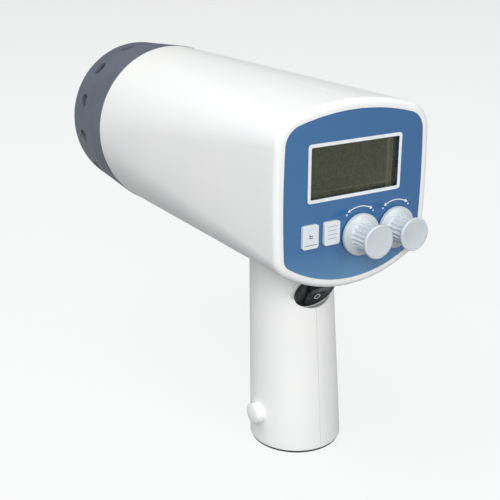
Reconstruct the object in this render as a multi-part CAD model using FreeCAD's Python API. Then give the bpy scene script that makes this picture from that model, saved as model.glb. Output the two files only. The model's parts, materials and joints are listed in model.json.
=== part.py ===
import FreeCAD, Part
import math
import os

# Hand-held xenon stroboscope: a barrel on a handle, lamp at the front, panel at the back.
# Millimetres. The origin is the middle of the foot, +Z is up, +Y points out of the lamp,
# and +X is the operator's right.
# A distance "along" the barrel is counted forward from the rear rim.

V = FreeCAD.Vector
LEFT = V(-1, 0, 0)
RIGHT = V(1, 0, 0)
FRONT = V(0, 1, 0)
BACK = V(0, -1, 0)
UP = V(0, 0, 1)

# Overall layout
overall_length = 230.0
barrel_axis_height = 143.4
panel_setback = 44.5
hood_length = 48.4

# Housing
wall = 2.4
seam_gap = 0.16
rear_half_width = 43.3
rear_top = 44.1
rear_bottom = 43.8
rear_top_radius = 119.2
rear_upper_corner = 14.0
rear_side_radius = 500.0
rear_lower_corner = 10.2
rear_bottom_radius = 69.2
barrel_front_radius = 48.0
rear_edge_fillet = 2.8
rim_width = 4.2
lip_thickness = 3.4
spigot_length = 12.0
spigot_wall = 2.5
shoulder_length = 4.0

# Handle
handle_foot_radius = 24.2
handle_top_radius = 21.4
handle_top_height = 98.3
handle_rake = 6.4
handle_edge_fillet = 0.6
foot_thickness = 1.2
foot_edge_fillet = 0.4

# Lamp hood
hood_step = 0.3
hood_taper = 2.9
hood_wall = 2.2
hood_gap = 0.3
hood_edge_fillet = 1.6
hood_lip_thickness = 2.4
hood_lip_width = 4.8
vent_count = 13
vent_radius = 4.2
vent_setback = 15.3
vent_first_angle = 106.5

# Clearances, and how far a cutting tool runs past the face it opens
fit_gap = 0.2
slip_gap = 0.1
wire_gap = 0.02
cut_over = 1.0

# Lamp
lens_thickness = 1.8
gasket_thickness = 1.0
reflector_dish_depth = 36.0
reflector_wall = 0.8
reflector_mouth_margin = 0.6
reflector_flange_thickness = 1.2
reflector_neck_gap = 0.8
reflector_points = 9
retainer_thickness = 3.0
retainer_gap = 0.3
socket_radius = 11.0
socket_height = 8.6
tube_base_radius = 10.4
tube_base_height = 7.0
tube_outer_radius = 2.6
tube_inner_radius = 1.7
tube_leg_spacing = 11.0
tube_leg_length = 13.0
tube_seat = 2.5
pin_setback = 1.0
electrode_radius = 0.8
electrode_reach = 6.0
trigger_wire_radius = 0.3
trigger_wire_seat = 1.5
trigger_wire_drop = 1.0
trigger_coil_radius = 5.0
trigger_coil_height = 8.0
trigger_coil_offset = 23.5
lamp_board_radius = 31.0
board_thickness = 1.6
bulkhead_thickness = 2.2
bulkhead_hole_radius = 9.0
lamp_spacer_height = 4.0
lamp_spacer_radius = 3.0
lamp_spacer_circle = 17.0
lamp_spacer_count = 3
lamp_spacer_first_angle = 30.0
rib_thickness = 1.8
rib_height = 2.6

# Rear panel
label_recess = 0.1
label_thickness = 0.5
panel_thickness = 4.8
panel_flange_gap = 0.3
window_half_width = 24.6
window_bottom = 1.4
window_top = 25.0
window_corner = 0.6
window_clearance = 0.6
glazing_margin = 2.6
glazing_thickness = 1.5
bezel_wall = 1.2
bezel_depth = 4.0
bezel_sight = 0.8
glass_setback = 0.8
display_board_distance = 14.0
display_board_inset = 7.0
header_width = 40.0
header_height = 2.5
header_drop = 0.5
post_radius = 2.5
post_pilot_depth = 1.5
board_screw_bite = 6.0
post_places = ((-33.4, 10.0), (33.4, 10.0), (-25.0, -28.5), (14.0, -31.5))
chip_width = 12.0
chip_height = 1.5
chip_drop = 8.0

# Keys
key_width = 8.6
key_height = 11.2
key_proud = 1.5
key_travel = 0.8
key_places = {"left_key": (-24.9, -15.3), "right_key": (-13.1, -15.3)}
key_flange = 0.9
key_flange_thickness = 1.0
key_flange_depth = 1.4
key_flange_gap = 0.05
key_stem_radius = 1.7
key_corner = 1.2
key_edge_fillet = 0.35
key_gap = 0.25
tact_width = 6.2
tact_height = 3.6
tact_stem_depth = 1.8
tact_well_spare = 0.3

# Knobs and potentiometers
knob_places = {"fine": (3.4, -18.7), "coarse": (24.4, -18.7)}
knob_foot_radius = 10.1
knob_foot_thickness = 2.3
knob_waist_radius = 6.7
knob_cap_radius = 8.0
knob_edge = 0.8
knob_flare = 1.3
knob_length = 14.8
knob_gap = 0.4
knob_rib_count = 20
knob_rib_depth = 0.55
knob_rib_sink = 0.1
knob_socket_radius = 6.6
knob_socket_depth = 2.6
shaft_radius = 3.0
shaft_clearance = 0.05
shaft_flat = 1.2
shaft_seat = 3.0
shaft_reach = 11.0
shaft_end_gap = 0.3
bush_radius = 3.5
pot_radius = 8.2
pot_depth = 8.2
pot_leg_spacing = 2.5
pot_leg_width = 1.2
pot_leg_thickness = 0.8
pot_leg_reach = 2.0
pot_leg_setback = 4.0
nut_flats = 10.0
nut_thickness = 2.0

# Rocker switch: its face centre, and how far the face looks down
switch_face_y = -16.8
switch_face_z = 87.2
switch_tilt = 28.0
switch_bezel_radius = 11.75
switch_bezel_thickness = 2.0
switch_body_radius = 9.9
switch_body_depth = 14.0
switch_throat_radius = 8.9
switch_wall = 1.2
switch_edge_fillet = 0.9
cup_reach = 7.2
pocket_reach = 10.8
pocket_rise = 17.0
pocket_clearance = 0.25
rocker_plan_radius = 8.0
rocker_half_width = 6.0
rocker_swing_radius = 8.4
rocker_pivot_depth = 2.0
rocker_side_gap = 0.25
rocker_crown = 3.2
rocker_throw = 18.0
rocker_depth = 5.0
pin_radius = 1.2
pin_clearance = 0.05
pin_length = 1.6
blade_width = 4.8
blade_thickness = 0.8
blade_length = 7.0
blade_root = 2.0
blade_spacing = 5.5

# Power inlet
jack_height = 17.7
jack_boss_radius = 5.5
jack_boss_face = 27.2
jack_boss_fillet = 0.6
jack_setback = 0.2
jack_body_radius = 3.7
jack_hole_radius = 2.85
jack_depth = 10.5
jack_hole_depth = 9.5
jack_pin_radius = 1.0
jack_pin_setback = 1.0
inlet_cover_thickness = 1.0
inlet_cover_fillet = 0.5
inlet_cover_stem = 4.0

# Battery
cell_radius = 7.25
cell_length = 50.0
cell_gap = 0.1
cell_floor = 10.0
pack_cap_thickness = 2.0
pack_rib_overlap = 3.6

# Screws and bosses
boss_radius = 3.6
pilot_radius = 1.1
screw_radius = 1.1
screw_hole_radius = 1.6
screw_head_radius = 2.9
screw_head_height = 2.0
screw_head_fillet = 0.8
cross_depth = 1.2
cross_width = 0.6
cross_span = 3.2
counterbore_radius = 3.2
boss_web = 6.0
case_screw_grip = 9.0
barrel_bosses = ((24.0, 35.0), (92.0, 36.0), (150.0, 36.0), (98.0, -36.0), (150.0, -36.0))
handle_boss_y = 8.0
handle_boss_rise = 8.5
base_cap_thickness = 3.0
lug_radius = 3.6
lug_x = 8.0
lug_y = 16.8
lug_gap = 0.1
base_screw_length = 4.5

# Main board and what stands on it
main_board_x = -17.5
main_board_start = 18.0
main_board_length = 108.0
main_board_height = 56.0
board_post_radius = 3.2
board_post_inset = 5.0
board_post_pilot = 10.0
main_screw_bite = 7.0
core_length = 38.0
core_height = 39.0
core_depth = 44.0
core_limb = 7.5
core_place = 38.0
winding_wall = 5.5
winding_gap = 0.3
storage_cap_radius = 11.0
storage_cap_length = 38.0
storage_cap_place = 73.0
storage_cap_offset = 13.0
storage_cap_fillet = 1.2
flash_cap_size = (18.0, 22.0, 30.0)
flash_cap_place = 96.5
flash_cap_drop = 5.0
heat_sink_size = (20.0, 10.0, 34.0)
heat_sink_place = 118.0
heat_sink_fins = 5
heat_sink_back = 3.0
fin_gap_share = 0.6
transistor_size = (9.0, 4.4, 10.0)
transistor_lift = 3.0
fuse_radius = 2.6
fuse_length = 20.0
fuse_place = 96.5
fuse_height = 22.5
fuse_lift = 1.5
clip_thickness = 0.6
clip_width = 5.0
clip_inset = 0.5
clip_mouth = 3.6
clip_foot_width = 3.0


# Derived places
rear_y = -panel_setback
hood_start = overall_length - hood_length
foot_radius = handle_foot_radius - handle_edge_fillet
hood_rear_radius = barrel_front_radius + hood_step
hood_front_radius = hood_rear_radius - hood_taper
hood_lip_radius = hood_front_radius - hood_lip_width
spigot_radius = hood_rear_radius - hood_wall - fit_gap
reflector_mouth_radius = hood_lip_radius - reflector_mouth_margin
reflector_focal_length = reflector_mouth_radius ** 2 / (4 * reflector_dish_depth)
reflector_neck_radius = socket_radius + reflector_neck_gap
cell_offset = cell_radius + cell_gap / 2
pack_radius = cell_offset * math.sqrt(2) + cell_radius
pack_top = cell_floor + cell_length + pack_cap_thickness
switch_out = V(0, -math.cos(math.radians(switch_tilt)), -math.sin(math.radians(switch_tilt)))
switch_down = V(0, math.sin(math.radians(switch_tilt)), -math.cos(math.radians(switch_tilt)))
switch_face = V(0, switch_face_y, switch_face_z)
nodes = {}


def along(distance, x=0.0, z=0.0):
    """A point at a distance along the barrel, with x and z counted from its axis."""
    return V(x, rear_y + distance, barrel_axis_height + z)


def cylinder(radius, length, base, direction):
    return Part.makeCylinder(radius, length, base, direction)


def tube(outer, inner, length, base, direction):
    return cylinder(outer, length, base, direction).cut(cylinder(inner, length, base, direction))


def block(low, high):
    return Part.makeBox(high.x - low.x, high.y - low.y, high.z - low.z, low)


def panel_block(x0, x1, z0, z1, start, end):
    """A box on the rear panel: x and z from the barrel axis, start and end along it."""
    return block(along(start, x0, z0), along(end, x1, z1))


def oriented_block(base, across, along_it, upward, width, length, height):
    """A box from its own three directions: base is the middle of its near lower edge."""
    corners = [base - across * (width / 2), base + across * (width / 2)]
    corners += [corners[1] + along_it * length, corners[0] + along_it * length]
    face = Part.Face(Part.makePolygon(corners + [corners[0]]))
    return face.extrude(upward * height)


def merge(shapes):
    result = shapes[0]
    if len(shapes) > 1:
        result = result.multiFuse(shapes[1:])
    return result.removeSplitter()


def spun(points, centre, axis):
    """Solid of revolution: points are (distance along the axis, radius)."""
    side = V(1, 0, 0)
    places = [centre + axis * d + side * r for d, r in points]
    wire = Part.makePolygon(places + [places[0]])
    return Part.Face(wire).revolve(centre, axis, 360)


def group(shapes):
    return Part.makeCompound(shapes)


def screw(head_seat, direction, length):
    """A pan-head screw: head_seat is under the head, direction is the way the tip points."""
    top = head_seat - direction * screw_head_height
    shank = cylinder(screw_radius, length, head_seat, direction)
    head = cylinder(screw_head_radius, screw_head_height, top, direction)
    rim = [e for e in head.Edges if (e.CenterOfMass - top).Length < 0.01]
    head = head.makeFillet(screw_head_fillet, rim)
    across = direction.cross(V(0.3, 0.5, 0.8))
    across.normalize()
    other = direction.cross(across)
    floor = top + direction * cross_depth
    for arm, side in ((across, other), (other, across)):
        near = floor - side * (cross_width / 2)
        slot = oriented_block(near, arm, side, direction * -1, cross_span, cross_width, cross_depth)
        head = head.cut(slot)
    return merge([shank, head])


def outline_arcs():
    """Arcs of the barrel's rear outline: centre x, centre z, radius, first and last normal angle."""
    def angle_from_width(big, small, side):
        reach = rear_half_width - rear_side_radius * (1 - math.cos(side)) - small * math.cos(side)
        return math.acos(reach / (big - small))

    def height(side):
        top = math.sin(angle_from_width(rear_top_radius, rear_upper_corner, side))
        low = math.sin(angle_from_width(rear_bottom_radius, rear_lower_corner, side))
        bend = math.sin(side)
        return (rear_top_radius * (1 - top) + rear_upper_corner * (top - bend)
                + 2 * rear_side_radius * bend
                + rear_lower_corner * (low - bend) + rear_bottom_radius * (1 - low))

    low_side, high_side = 0.0, math.radians(10)
    for _ in range(50):
        side = (low_side + high_side) / 2
        if height(side) < rear_top + rear_bottom:
            low_side = side
        else:
            high_side = side
    top = angle_from_width(rear_top_radius, rear_upper_corner, side)
    low = angle_from_width(rear_bottom_radius, rear_lower_corner, side)
    runs = ((rear_top_radius, math.pi / 2, top), (rear_upper_corner, top, side),
            (rear_side_radius, side, -side), (rear_lower_corner, -side, -low),
            (rear_bottom_radius, -low, -math.pi / 2))
    arcs = []
    x, z = 0.0, rear_top
    for radius, first, last in runs:
        cx, cz = x - radius * math.cos(first), z - radius * math.sin(first)
        arcs.append((cx, cz, radius, first, last))
        x, z = cx + radius * math.cos(last), cz + radius * math.sin(last)
    mirrored = [(-cx, cz, r, math.pi - last, math.pi - first) for cx, cz, r, first, last in reversed(arcs)]
    return arcs + mirrored


rear_arcs = outline_arcs()


def section(distance, inset=0.0, like=None):
    """Closed outline of the barrel at a distance along it, drawn in by inset."""
    share = (distance if like is None else like) / hood_start
    y = rear_y + distance
    edges = []
    for cx, cz, radius, first, last in rear_arcs:
        r = radius * (1 - share) + barrel_front_radius * share - inset
        x0, z0 = cx * (1 - share), cz * (1 - share) + barrel_axis_height
        points = [V(x0 + r * math.cos(a), y, z0 + r * math.sin(a))
                  for a in (first, (first + last) / 2, last)]
        edges.append(Part.Arc(*points).toShape())
    return Part.Wire(edges)


def barrel_solid(start, end, inset):
    return Part.makeLoft([section(start, inset), section(end, inset)], True, True)


def outline_prism(start, end, inset, like=0.0):
    face = Part.Face(section(start, inset, like))
    return face.extrude(V(0, end - start, 0))


def handle_centre(z):
    share = (z - foot_thickness) / (handle_top_height - foot_thickness)
    return V(0, handle_rake * share, z)


def handle_radius(z):
    share = (z - foot_thickness) / (handle_top_height - foot_thickness)
    return handle_foot_radius + (handle_top_radius - handle_foot_radius) * share


def handle_solid(low, high, inset):
    rings = []
    for z in (low, high):
        circle = Part.makeCircle(handle_radius(z) - inset, handle_centre(z), UP)
        rings.append(Part.Wire([circle]))
    return Part.makeLoft(rings, True, True)


def handle_ring(low, high, inner_radius):
    """A rib round the inside of the handle, rooted in its wall."""
    outer = handle_solid(low, high, wall / 2)
    centre = handle_centre(low)
    return outer.cut(cylinder(inner_radius, high - low, centre, UP))


def on_switch(outward, down=0.0, x=0.0):
    return switch_face + switch_out * outward + switch_down * down + V(x, 0, 0)


def switch_cylinder(radius, start, end):
    """A cylinder about the switch axis; start and end are counted outward from its face."""
    return cylinder(radius, end - start, on_switch(start), switch_out)


def switch_pocket(radius, floor):
    """Room for the switch: straight as far as its face, then opening out and upward."""
    rise = math.radians(pocket_rise)
    mouth = Part.Face(Part.Wire([Part.makeCircle(radius, switch_face, switch_out)]))
    opening = mouth.extrude(V(0, -math.cos(rise), math.sin(rise)) * pocket_reach)
    return switch_cylinder(radius, floor, 0).fuse(opening)


def housing():
    """The whole housing before it is split down the middle."""
    handle_reach = barrel_axis_height - rear_bottom + wall
    barrel = barrel_solid(0, hood_start, 0)
    rim = [e for e in barrel.Edges if all(abs(v.Point.y - rear_y) < 0.001 for v in e.Vertexes)]
    barrel = barrel.makeFillet(rear_edge_fillet, rim)
    handle = handle_solid(foot_thickness, handle_reach, 0)
    rim = [e for e in handle.Edges if abs(e.CenterOfMass.z - foot_thickness) < 0.01 and e.Closed]
    handle = handle.makeFillet(handle_edge_fillet, rim)
    skin = barrel.fuse(handle)

    facet = -switch_bezel_thickness
    pocket_radius = switch_bezel_radius + pocket_clearance
    cup_radius = pocket_radius + switch_wall
    cup_back = facet - switch_wall
    jack_mouth = V(-jack_boss_face, 0, jack_height)
    jack_boss = cylinder(jack_boss_radius, jack_boss_face, jack_mouth, RIGHT)
    tip = [e for e in jack_boss.Edges if (e.CenterOfMass - jack_mouth).Length < 0.01]
    jack_boss = jack_boss.makeFillet(jack_boss_fillet, tip)
    outer = skin.fuse(switch_cylinder(cup_radius, cup_back, facet)).fuse(jack_boss)

    cavity_end = hood_start - shoulder_length
    spigot_reach = spigot_length + shoulder_length
    shell = outer.cut(barrel_solid(lip_thickness, cavity_end, wall))
    shell = shell.cut(handle_solid(foot_thickness, handle_reach + wall, wall))
    shell = shell.cut(outline_prism(-cut_over, lip_thickness + cut_over, rim_width))

    # The cup round the switch, the front spigot, and the ribs that hold the inner parts
    cup = switch_cylinder(cup_radius, cup_back, cup_reach).common(skin)
    spigot = cylinder(spigot_radius, spigot_reach, along(cavity_end), FRONT)
    jack_cup = cylinder(jack_boss_radius, jack_depth, jack_mouth, RIGHT).common(outer)
    rib_start = label_recess + label_thickness + panel_thickness + fit_gap
    rib_end = rib_start + rib_thickness
    panel_rib = outline_prism(rib_start, rib_end, wall / 2)
    panel_rib = panel_rib.cut(outline_prism(rib_start, rib_end, wall + rib_height))
    rib_start = cavity_end - bulkhead_thickness - 2 * fit_gap - rib_thickness
    bulkhead_rib = outline_prism(rib_start, rib_start + rib_thickness, wall / 2, rib_start)
    rib_opening = barrel_front_radius - wall - rib_height
    bulkhead_rib = bulkhead_rib.cut(cylinder(rib_opening, rib_thickness, along(rib_start), FRONT))
    pack_rib_low = pack_top + 2 * fit_gap
    pack_rib = handle_ring(pack_rib_low, pack_rib_low + rib_thickness, pack_radius - pack_rib_overlap)
    shell = shell.fuse([cup, spigot, jack_cup, panel_rib, bulkhead_rib, pack_rib])
    shell = shell.fuse(screw_bosses(outer)).fuse(board_posts(outer)).fuse(base_lugs(outer))

    # Holes and recesses
    spigot_bore = spigot_radius - spigot_wall
    cuts = [cylinder(spigot_bore, spigot_reach + 2 * cut_over, along(cavity_end - cut_over), FRONT)]
    cuts.append(switch_pocket(pocket_radius, facet).cut(barrel))
    cuts.append(switch_cylinder(switch_body_radius + fit_gap, cup_back - switch_body_depth, 0))
    jack_bore = jack_body_radius + slip_gap
    cuts.append(cylinder(jack_bore, jack_depth + 2 * cut_over, jack_mouth + LEFT * cut_over, RIGHT))
    cuts.append(cylinder(handle_foot_radius - wall, foot_thickness + cut_over, V(0, 0, -cut_over), UP))
    cuts += screw_holes()
    return shell.cut(cuts[0].multiFuse(cuts[1:]))


def boss_places():
    places = [along(d, 0, z) for d, z in barrel_bosses]
    places.append(V(0, handle_boss_y, pack_top + handle_boss_rise))
    return places


def screw_bosses(outer):
    reach = barrel_front_radius
    solids = [cylinder(boss_radius, 2 * reach, p + LEFT * reach, RIGHT) for p in boss_places()]
    return [s.common(outer) for s in solids]


def pilot(place, depth):
    """A pilot hole in the left half, from a place towards the left."""
    return cylinder(pilot_radius, depth, place + LEFT * depth, RIGHT)


def screw_holes():
    """Clearance hole and counterbore in the right half, pilot hole in the left half."""
    holes = []
    for place in boss_places():
        holes.append(cylinder(screw_hole_radius, boss_web + cut_over, place, RIGHT))
        holes.append(cylinder(counterbore_radius, 2 * barrel_front_radius, place + RIGHT * boss_web, RIGHT))
        holes.append(pilot(place, case_screw_grip + cut_over))
    for place in board_post_places():
        holes.append(pilot(place, board_post_pilot))
    for place in lug_places():
        holes.append(cylinder(pilot_radius, base_screw_length, place, UP))
    return holes


def board_post_places():
    half = main_board_height / 2 - board_post_inset
    first = main_board_start + board_post_inset
    last = main_board_start + main_board_length - board_post_inset
    return [along(d, main_board_x - board_thickness, z) for d in (first, last) for z in (-half, half)]


def board_posts(outer):
    reach = barrel_front_radius
    posts = [cylinder(board_post_radius, reach, p + LEFT * reach, RIGHT) for p in board_post_places()]
    return [post.common(outer) for post in posts]


def lug_places():
    z = foot_thickness + base_cap_thickness + lug_gap
    return [V(sx * lug_x, sy * lug_y, z) for sx in (-1, 1) for sy in (-1, 1)]


def base_lugs(outer):
    height = cell_floor - pack_cap_thickness - lug_places()[0].z
    return [cylinder(lug_radius, height, p, UP).common(outer) for p in lug_places()]


def make_shells():
    whole = housing()
    reach = overall_length
    for name, side in (("left_shell", -1), ("right_shell", 1)):
        near, far = side * seam_gap / 2, side * reach
        half = block(V(min(near, far), -reach, -reach), V(max(near, far), reach, reach))
        nodes[name] = whole.common(half)
    seats = [place + RIGHT * boss_web for place in boss_places()]
    nodes["case_screws"] = group([screw(p, LEFT, boss_web + case_screw_grip) for p in seats])


def make_foot():
    """The cap that closes the handle, its screws, and the rubber pad stuck under it."""
    base_radius = handle_foot_radius - wall - 2 * fit_gap
    base = cylinder(base_radius, base_cap_thickness, V(0, 0, foot_thickness), UP)
    screws = []
    for lug in lug_places():
        below = V(lug.x, lug.y, foot_thickness)
        base = base.cut(cylinder(screw_hole_radius, base_cap_thickness, below, UP))
        base = base.cut(cylinder(counterbore_radius, screw_head_height, below, UP))
        screws.append(screw(below + UP * screw_head_height, UP, base_screw_length))
    nodes["base_cap"] = base
    nodes["base_screws"] = group(screws)
    pad = cylinder(foot_radius, foot_thickness, V(0, 0, 0), UP)
    low = [e for e in pad.Edges if abs(e.CenterOfMass.z) < 0.01]
    nodes["foot_pad"] = pad.makeFillet(foot_edge_fillet, low)


def hood_radius(distance):
    share = (distance - hood_start) / hood_length
    return hood_rear_radius + (hood_front_radius - hood_rear_radius) * share


def make_hood():
    start, end = hood_start + hood_gap, overall_length
    lip = end - hood_lip_thickness
    profile = ((start, spigot_radius + fit_gap), (start, hood_radius(start)), (end, hood_radius(end)),
               (end, hood_lip_radius), (lip, hood_lip_radius), (lip, hood_radius(lip) - hood_wall),
               (hood_start + spigot_length, spigot_radius + fit_gap))
    hood = spun(profile, along(0), FRONT)
    rim = [e for e in hood.Edges if e.Closed and abs(e.CenterOfMass.y - rear_y - end) < 0.01]
    rim = [max(rim, key=lambda e: e.Curve.Radius)]
    hood = hood.makeFillet(hood_edge_fillet, rim)
    vents = []
    for i in range(vent_count):
        angle = math.radians(vent_first_angle + i * 360.0 / vent_count)
        out = V(math.cos(angle), 0, math.sin(angle))
        vents.append(cylinder(vent_radius, hood_rear_radius, along(overall_length - vent_setback), out))
    nodes["lamp_hood"] = hood.cut(group(vents))


def reflector_depth(radius):
    return radius ** 2 / (4 * reflector_focal_length)


def make_lamp():
    """The lens in the hood's lip, the reflector behind it, and the lamp on its bulkhead."""
    lens_end = overall_length - hood_lip_thickness
    lens_start = lens_end - lens_thickness
    lens_radius = hood_radius(lens_end) - hood_wall - 2 * fit_gap
    nodes["front_lens"] = cylinder(lens_radius, lens_thickness, along(lens_start), FRONT)
    gasket_start = lens_start - gasket_thickness
    gasket_inner = hood_lip_radius + fit_gap
    nodes["lens_gasket"] = tube(lens_radius, gasket_inner, gasket_thickness, along(gasket_start), FRONT)
    flange_start = gasket_start - reflector_flange_thickness
    nodes["reflector"] = reflector_solid(flange_start, gasket_start, lens_radius)
    outer = hood_radius(flange_start) - hood_wall - fit_gap
    inner = reflector_mouth_radius + reflector_wall + retainer_gap
    retainer_start = along(flange_start - retainer_thickness)
    nodes["reflector_retainer"] = tube(outer, inner, retainer_thickness, retainer_start, FRONT)

    # Lamp board on the bulkhead, with the socket, the tube and its trigger coil
    bulkhead_end = hood_start - shoulder_length - fit_gap
    bulkhead_start = bulkhead_end - bulkhead_thickness
    board_start = bulkhead_end + lamp_spacer_height
    board_end = board_start + board_thickness
    bulkhead_radius = barrel_front_radius - wall - 2 * fit_gap
    bulkhead = tube(bulkhead_radius, bulkhead_hole_radius, bulkhead_thickness, along(bulkhead_start), FRONT)
    board = cylinder(lamp_board_radius, board_thickness, along(board_start), FRONT)
    spacers, screws = [], []
    grip = board_end - bulkhead_start
    for i in range(lamp_spacer_count):
        angle = math.radians(lamp_spacer_first_angle + 360 * i / lamp_spacer_count)
        x, z = lamp_spacer_circle * math.cos(angle), lamp_spacer_circle * math.sin(angle)
        seat = along(bulkhead_end, x, z)
        bulkhead = bulkhead.cut(cylinder(pilot_radius, bulkhead_thickness, seat, BACK))
        board = board.cut(cylinder(screw_hole_radius, board_thickness, along(board_start, x, z), FRONT))
        spacers.append(tube(lamp_spacer_radius, screw_hole_radius, lamp_spacer_height, seat, FRONT))
        screws.append(screw(along(board_end, x, z), BACK, grip))
    nodes["bulkhead"] = bulkhead
    nodes["lamp_board"] = board
    nodes["lamp_board_spacers"] = group(spacers)
    nodes["lamp_board_screws"] = group(screws)
    make_tube(board_end)
    coil_at = along(board_end, 0, trigger_coil_offset)
    nodes["trigger_coil"] = cylinder(trigger_coil_radius, trigger_coil_height, coil_at, FRONT)


def reflector_solid(flange_start, flange_end, flange_radius):
    """A dish of parabola section with a flat flange."""
    vertex = flange_end - reflector_depth(reflector_mouth_radius)
    inner, outer = [], []
    for i in range(reflector_points):
        share = i / (reflector_points - 1)
        r = reflector_neck_radius + (reflector_mouth_radius - reflector_neck_radius) * share
        slope = math.atan(r / (2 * reflector_focal_length))
        d = vertex + reflector_depth(r)
        inner.append(along(d, r))
        outer.append(along(d - reflector_wall * math.cos(slope), r + reflector_wall * math.sin(slope)))
    dish_inner = Part.BSplineCurve()
    dish_inner.interpolate(inner)
    dish_outer = Part.BSplineCurve()
    dish_outer.interpolate(outer)
    corners = [inner[-1], along(flange_end, flange_radius), along(flange_start, flange_radius)]
    corners += [along(flange_start, outer[-1].x), outer[-1]]
    edges = [Part.makeLine(a, b) for a, b in zip(corners, corners[1:])]
    edges += [dish_inner.toShape(), dish_outer.toShape(), Part.makeLine(outer[0], inner[0])]
    face = Part.Face(Part.Wire(Part.__sortEdges__(edges)))
    return face.revolve(along(0), FRONT, 360)


def hairpin(start, spacing, leg, x_side=0.0):
    """Path of a hairpin: up one leg, round and back, in the X plane shifted by x_side."""
    half = spacing / 2
    low_a, low_b = along(start, x_side, -half), along(start, x_side, half)
    top_a, top_b = along(start + leg, x_side, -half), along(start + leg, x_side, half)
    crown = along(start + leg + half, x_side, 0)
    bend = Part.Arc(top_a, crown, top_b).toShape()
    path = Part.Wire([Part.makeLine(low_a, top_a), bend, Part.makeLine(top_b, low_b)])
    return path, low_a


def swept(path, start, radius):
    ring = Part.Wire([Part.makeCircle(radius, start, FRONT)])
    return path.makePipeShell([ring], True, False)


def make_tube(board_end):
    """The hairpin flash tube in its base, the base in its socket, and the trigger wire."""
    socket_end = board_end + socket_height
    base_end = socket_end + tube_base_height
    seat = base_end - tube_seat
    half = tube_leg_spacing / 2
    path, low = hairpin(seat, tube_leg_spacing, tube_leg_length)
    nodes["flash_tube"] = swept(path, low, tube_outer_radius).cut(swept(path, low, tube_inner_radius))
    socket = cylinder(socket_radius, socket_height, along(board_end), FRONT)
    base = cylinder(tube_base_radius, tube_base_height, along(socket_end), FRONT)
    electrodes = []
    pin_start = board_end + pin_setback
    pin_reach = seat + electrode_reach - pin_start
    wire_side = tube_outer_radius + trigger_wire_radius + wire_gap
    wire_start = base_end - trigger_wire_seat
    for z in (-half, half):
        base = base.cut(cylinder(tube_outer_radius + wire_gap, tube_seat, along(seat, 0, z), FRONT))
        base = base.cut(cylinder(electrode_radius, tube_base_height, along(socket_end, 0, z), FRONT))
        wire_end = along(wire_start, wire_side, z)
        base = base.cut(cylinder(trigger_wire_radius + wire_gap, trigger_wire_seat, wire_end, FRONT))
        socket = socket.cut(cylinder(electrode_radius, socket_height, along(pin_start, 0, z), FRONT))
        electrodes.append(cylinder(electrode_radius, pin_reach, along(pin_start, 0, z), FRONT))
    wire_leg = tube_leg_length - trigger_wire_drop
    wire_path, wire_low = hairpin(wire_start, tube_leg_spacing, wire_leg, wire_side)
    nodes["trigger_wire"] = swept(wire_path, wire_low, trigger_wire_radius)
    nodes["tube_base"] = base
    nodes["lamp_socket"] = socket
    nodes["electrodes"] = group(electrodes)


def window_block(margin, start, end):
    """A box in line with the display window, larger than it by a margin on every side."""
    half = window_half_width + margin
    return panel_block(-half, half, window_bottom - margin, window_top + margin, start, end)


def key_block(x, z, margin, start, end):
    """A box in line with a key, larger than it by a margin on every side."""
    half_width, half_height = key_width / 2 + margin, key_height / 2 + margin
    return panel_block(x - half_width, x + half_width, z - half_height, z + half_height, start, end)


def rounded(shape, radius):
    """Rounds the edges of a panel box that run along the barrel."""
    edges = [e for e in shape.Edges if abs(e.tangentAt(e.FirstParameter).y) > 0.9]
    return shape.makeFillet(radius, edges)


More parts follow.
